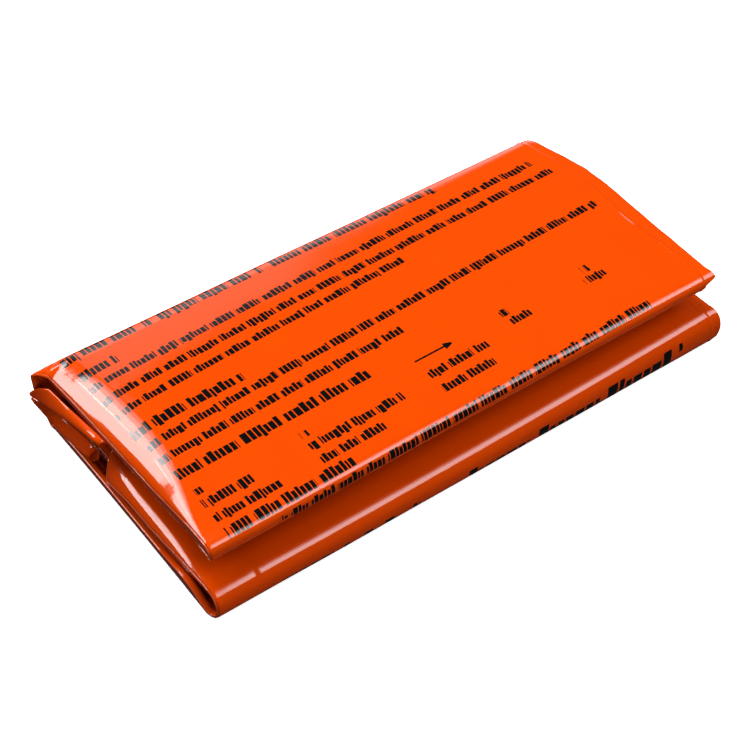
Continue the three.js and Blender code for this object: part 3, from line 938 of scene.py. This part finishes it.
# %% Helpers for materials
def colour(hexadecimal):
    """An sRGB hex colour as linear RGBA."""
    def linear(value):
        value /= 255
        return value / 12.92 if value <= 0.04045 else ((value + 0.055) / 1.055) ** 2.4
    return tuple(linear(int(hexadecimal[i:i + 2], 16)) for i in (1, 3, 5)) + (1.0,)


def add_node(tree, kind, inputs=None, **settings):
    """A node with its settings, and its sockets set to values or linked to other nodes' sockets."""
    node = tree.nodes.new(kind)
    for name, value in settings.items():
        setattr(node, name, value)
    for socket, value in (inputs or {}).items():
        if isinstance(value, bpy.types.NodeSocket):
            tree.links.new(value, node.inputs[socket])
        else:
            node.inputs[socket].default_value = value
    return node


def new_material(name):
    material = bpy.data.materials.new(name)
    material.use_nodes = True
    material.node_tree.nodes.clear()
    return material, material.node_tree


print("a mid grey in linear light:", round(colour("#808080")[0], 3))

# %% [markdown]
# ## Ink
#
# The black is a thin flexographic ink that a soft printing plate lays on the film, so its edges are sharp
# and it has no height. An image could hold the print, but cells of a one-dimensional Voronoi pattern make
# strokes of many widths and need no file. A fine pattern parts the strokes, and a coarse one parts groups
# of them. A few comparisons cut them off at the foot and the top and draw the arrow.

# %% Ink
STROKE_PITCH = 0.46  # row heights from one stroke to the next
GROUP_PITCH = 3.1
UNEVENNESS = 0.8
STROKE_GAP = 0.10
GROUP_GAP = 0.06
SHORT_TOP = 0.8  # height of the short strokes
TALL_SHARE = 0.45  # share of the strokes that rise above the short ones
LOW_SHARE = 0.1  # share of the strokes that reach below the row's foot
REACH = 0.2  # how far both kinds go beyond the short strokes
SHAFT_HALF = 0.09  # measures of the arrow, in its own heights
SHAFT_END = 3.0
HEAD_START = 2.7
HEAD_TIP = 3.7
HEAD_SLOPE = 0.36


def ink_mask(tree):
    """1 where the film carries ink: groups of upright strokes, and one arrow."""
    def calculate(operation, *values):
        return add_node(tree, "ShaderNodeMath", dict(enumerate(values)), operation=operation).outputs[0]

    place = add_node(tree, "ShaderNodeUVMap", uv_map="print").outputs["UV"]
    split = add_node(tree, "ShaderNodeSeparateXYZ", {"Vector": place})
    x, height = split.outputs["X"], split.outputs["Y"]

    def cells(pitch, feature, output):
        inputs = {"W": x, "Scale": 1 / pitch, "Randomness": UNEVENNESS}
        node = add_node(tree, "ShaderNodeTexVoronoi", inputs, voronoi_dimensions="1D", feature=feature)
        return node.outputs[output]

    group = calculate("GREATER_THAN", cells(GROUP_PITCH, "DISTANCE_TO_EDGE", "Distance"), GROUP_GAP)
    stroke = calculate("GREATER_THAN", cells(STROKE_PITCH, "DISTANCE_TO_EDGE", "Distance"), STROKE_GAP)
    chance = add_node(tree, "ShaderNodeSeparateColor", {"Color": cells(STROKE_PITCH, "F1", "Color")})
    tall = calculate("GREATER_THAN", chance.outputs["Red"], 1 - TALL_SHARE)
    low = calculate("GREATER_THAN", chance.outputs["Green"], 1 - LOW_SHARE)
    below_top = calculate("LESS_THAN", height, calculate("MULTIPLY_ADD", tall, REACH, SHORT_TOP))
    above_foot = calculate("GREATER_THAN", height, calculate("MULTIPLY", low, -REACH))
    rows = calculate("MULTIPLY", calculate("MULTIPLY", group, stroke),
                     calculate("MULTIPLY", above_foot, below_top))

    side = calculate("ABSOLUTE", calculate("SUBTRACT", height, ARROW_CODE + 0.5))
    shaft = calculate("MULTIPLY", calculate("LESS_THAN", side, SHAFT_HALF),
                      calculate("LESS_THAN", x, SHAFT_END))
    taper = calculate("MULTIPLY", calculate("SUBTRACT", HEAD_TIP, x), HEAD_SLOPE)
    head = calculate("MULTIPLY", calculate("LESS_THAN", side, taper),
                     calculate("GREATER_THAN", x, HEAD_START))
    arrow = calculate("MULTIPLY", calculate("MAXIMUM", shaft, head),
                      calculate("GREATER_THAN", height, ARROW_CODE - 1))
    return calculate("MAXIMUM", rows, arrow)


print("strokes", STROKE_PITCH, "and groups", GROUP_PITCH, "row heights apart")

# %% [markdown]
# ## Polythene
#
# The film is low-density polythene, blown as a bubble and coloured all through with orange pigment. It
# cools in air and touches nothing while it sets, which leaves a smooth gloss like wet paint. The bubble
# is drawn upwards as it cools, so the film has long faint streaks. It whitens a little where it is
# creased, and the creases are painted paler still, as a painted highlight of the thin lines they catch.
# A plain glossy colour would look like moulded plastic. Streaks, a fine crinkle and a cloudy
# gloss are what make it film, and they are so low that they only bend the reflections. The real streaks
# are finer than a picture shows, so they are drawn as coarse as they need to be seen.

# %% Polythene
CLOUD = 18  # millimetres; pigment and gloss change slowly over about this distance
CRINKLE = 6
STREAK = (40, 10 / 7, 10 / 7)  # length along the packet, and widths: seven streaks to the centimetre
BUMP = 0.012  # height of the streaks and the crinkle
GLOSS = (0.06, 0.10)  # roughness from the glossiest to the dullest place
POLYTHENE_IOR = 1.51
ORANGE = ("#CB3E00", "#D24300")
# pale pink of the creases: a painted highlight, with some stress whitening
CREASE_HIGHLIGHT_PINK = "#D87862"
INK_BLACK = "#0B0B0B"


def per_metre(millimetres):
    return 1 / (millimetres * MM)


def mix_colours(tree, factor, first, second):
    """The first colour, which may be another node's, where the factor is 0, and the second where it is 1."""
    return add_node(tree, "ShaderNodeMix", {0: factor, 6: first, 7: second}, data_type="RGBA").outputs[2]


def polythene(name, printed):
    material, tree = new_material(name)
    place = add_node(tree, "ShaderNodeTexCoord").outputs["Object"]
    cloudy = add_node(tree, "ShaderNodeTexNoise", {
        "Vector": place, "Scale": per_metre(CLOUD), "Detail": 3.0}).outputs["Fac"]
    base = mix_colours(tree, cloudy, colour(ORANGE[0]), colour(ORANGE[1]))
    if printed:
        base = mix_colours(tree, ink_mask(tree), base, colour(INK_BLACK))
    # the creases are painted pale pink: a painted highlight, with some stress whitening
    crease_highlight_mask = add_node(tree, "ShaderNodeAttribute", attribute_name="whitening_and_highlight").outputs["Fac"]
    base = mix_colours(tree, crease_highlight_mask, base, colour(CREASE_HIGHLIGHT_PINK))

    stretched = add_node(tree, "ShaderNodeMapping", {
        "Vector": place, "Scale": [per_metre(size) for size in STREAK]})
    streaks = add_node(tree, "ShaderNodeTexNoise", {
        "Vector": stretched.outputs["Vector"], "Scale": 1.0, "Detail": 2.0})
    crinkle = add_node(tree, "ShaderNodeTexNoise", {
        "Vector": place, "Scale": per_metre(CRINKLE), "Detail": 2.0})
    height = add_node(tree, "ShaderNodeMath", {
        0: streaks.outputs["Fac"], 1: crinkle.outputs["Fac"]}, operation="ADD")
    bump = add_node(tree, "ShaderNodeBump", {
        "Height": height.outputs[0], "Strength": 1.0, "Distance": BUMP * MM})
    gloss = add_node(tree, "ShaderNodeMapRange", {
        "Value": cloudy, "To Min": GLOSS[0], "To Max": GLOSS[1]})
    shader = add_node(tree, "ShaderNodeBsdfPrincipled", {
        "Base Color": base, "Roughness": gloss.outputs[0], "IOR": POLYTHENE_IOR,
        "Normal": bump.outputs["Normal"]})
    add_node(tree, "ShaderNodeOutputMaterial", {"Surface": shader.outputs["BSDF"]})
    return material


film.data.materials.append(polythene("orange_polythene_blown_film_printed", True))
pleats.data.materials.append(polythene("orange_polythene_blown_film", False))
print("materials:", film.data.materials[0].name, "and", pleats.data.materials[0].name)

# %% [markdown]
# ## Joining the frame
#
# The film and its pleats stand for the one folded solid of the frame, and they move with the frame's only
# body. The frame's own folded bag is hidden.

# %% Ride and replace
for piece in (film, pleats):
    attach(piece, "root")
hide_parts("folded_bag")

# %% [markdown]
# ## Floor
#
# The bag lies on white paper that is lit so strongly that only a hint of shadow is left. A very bright
# lamp from above would whiten the paper too, but it would wash out the film. So the paper glows a little
# by itself, and the film neither mirrors it nor is lit by it.

# %% Floor
FLOOR_HALF = 2.5  # metres
PAPER_WHITE = "#F4F4F4"
PAPER_ROUGHNESS = 0.9
PAPER_GLOW = 0.75


def add_floor():
    mesh = bmesh.new()
    bmesh.ops.create_grid(mesh, x_segments=1, y_segments=1, size=FLOOR_HALF)
    floor = add_piece(mesh, "floor")
    material, tree = new_material("white_paper")
    shader = add_node(tree, "ShaderNodeBsdfPrincipled", {
        "Base Color": colour(PAPER_WHITE), "Roughness": PAPER_ROUGHNESS,
        "Emission Color": (1, 1, 1, 1), "Emission Strength": PAPER_GLOW})
    add_node(tree, "ShaderNodeOutputMaterial", {"Surface": shader.outputs["BSDF"]})
    floor.data.materials.append(material)
    floor.visible_diffuse = False
    floor.visible_glossy = False


add_floor()
print("floor:", 2 * FLOOR_HALF, "m wide")

# %% [markdown]
# ## Softboxes
#
# Gloss shows what surrounds it, so the lamps make the white band and the pale lines on the film. They
# could be pushed about until the picture is right, but the law of reflection gives their places at once.
# For each softbox the table gives a spot on the bag and the tilt of the film that should mirror the lamp
# from there into the camera. The left softbox fades towards the top, which gives the rolled end its white
# band with one crisp edge and one soft edge. Two fills lift the shaded sides, and the gloss doesn't show
# them.

# %% Tables of the lamps
# Tilts in degrees towards the left end and towards the front, sizes and distance in metres.
LEFT_SPOT = (-105, 0, 30)
FRONT_SPOT = (0, -52, 30)
BACK_SPOT = (0, 50, 32)
MIDDLE_SPOT = (0, 0, 20)
SOFTBOX_COLUMNS = ("name", "spot", "left", "front", "far", "wide", "high", "glow")
SOFTBOXES = [
    ("left_softbox_core", LEFT_SPOT, 30.0, 0.0, 1.0, 0.36, 0.30, 11.0),
    ("left_softbox_middle", LEFT_SPOT, 20.5, 0.0, 1.0, 0.16, 0.30, 11.5),
    ("left_softbox_fade", LEFT_SPOT, 15.8, 0.0, 1.0, 0.09, 0.30, 6.0),
    ("left_softbox_rim", LEFT_SPOT, 12.7, 0.0, 1.0, 0.075, 0.30, 2.6),
    ("front_softbox_core", FRONT_SPOT, 0.0, 34.0, 1.2, 0.66, 0.52, 7.0),
    ("front_softbox_rim", FRONT_SPOT, 0.0, 24.5, 1.2, 0.66, 0.22, 2.6),
    ("back_wall", BACK_SPOT, 0.0, -16.0, 1.3, 1.6, 0.5, 1.4),
    ("back_wall_top", BACK_SPOT, 0.0, -8.0, 1.3, 1.5, 0.24, 0.8),
]
FILL_COLUMNS = ("name", "toward", "far", "wide", "high", "glow")
FILLS = [
    ("front_fill", (-0.12, -0.96, 0.24), 1.2, 0.50, 0.50, 4.6),
    ("overhead", (0.0, 0.22, 0.97), 1.0, 0.50, 0.50, 11.5),
]
print("the left softbox fades in", sum(row[1] is LEFT_SPOT for row in SOFTBOXES), "steps")


# %% Place the lamps
def mirrored(spot, left, front):
    """Where the camera's line of sight goes after film with these tilts has mirrored it."""
    left, front = math.radians(left), math.radians(front)
    normal = Vector((-math.sin(left), -math.sin(front) * math.cos(left), math.cos(front) * math.cos(left)))
    sight = (Vector(CAMERA_PLACE) - Vector(spot)).normalized()
    return 2 * sight.dot(normal) * normal - sight


def add_lamp(name, spot, direction, sideways, far, wide, high, glow):
    """A rectangular lamp of even glow that faces the spot."""
    data = bpy.data.lights.new(name, "AREA")
    data.shape = "RECTANGLE"
    data.size, data.size_y = wide, high
    data.energy = glow * math.pi * wide * high
    lamp = bpy.data.objects.new(name, data)
    bpy.context.scene.collection.objects.link(lamp)
    sideways = (sideways - sideways.dot(direction) * direction).normalized()
    turned = Matrix((sideways, direction.cross(sideways), direction)).transposed()
    lamp.matrix_world = Matrix.Translation(Vector(spot) * MM + direction * far) @ turned.to_4x4()
    lamp.visible_camera = False
    return lamp


def add_softbox(name, spot, left, front, far, wide, high, glow):
    direction = mirrored(spot, left, front)
    sideways = mirrored(spot, left + 1, front) - direction
    add_lamp(name, spot, direction, sideways, far, wide, high, glow)


def add_fill(name, toward, far, wide, high, glow):
    direction = Vector(toward).normalized()
    sideways = Vector((0, 0, 1)).cross(direction)
    lamp = add_lamp(name, MIDDLE_SPOT, direction, sideways, far, wide, high, glow)
    lamp.visible_glossy = False


for row in SOFTBOXES:
    add_softbox(**dict(zip(SOFTBOX_COLUMNS, row)))
for row in FILLS:
    add_fill(**dict(zip(FILL_COLUMNS, row)))
print(len(SOFTBOXES) + len(FILLS), "lamps placed")

# %% [markdown]
# ## The room
#
# The bag was lit in a dim room. A bright sky would be simpler, but it would fill every shadow, and the
# cleft between the packets would go pale. So the room is nearly dark, and the view keeps colours as mixed.

# %% Room
ROOM_GLOW = 0.03
world = bpy.data.worlds.new("studio")
world.use_nodes = True
background = world.node_tree.nodes["Background"]
background.inputs["Color"].default_value = (1, 1, 1, 1)
background.inputs["Strength"].default_value = ROOM_GLOW
bpy.context.scene.world = world
bpy.context.scene.view_settings.view_transform = "Standard"
print("world:", bpy.context.scene.world.name)
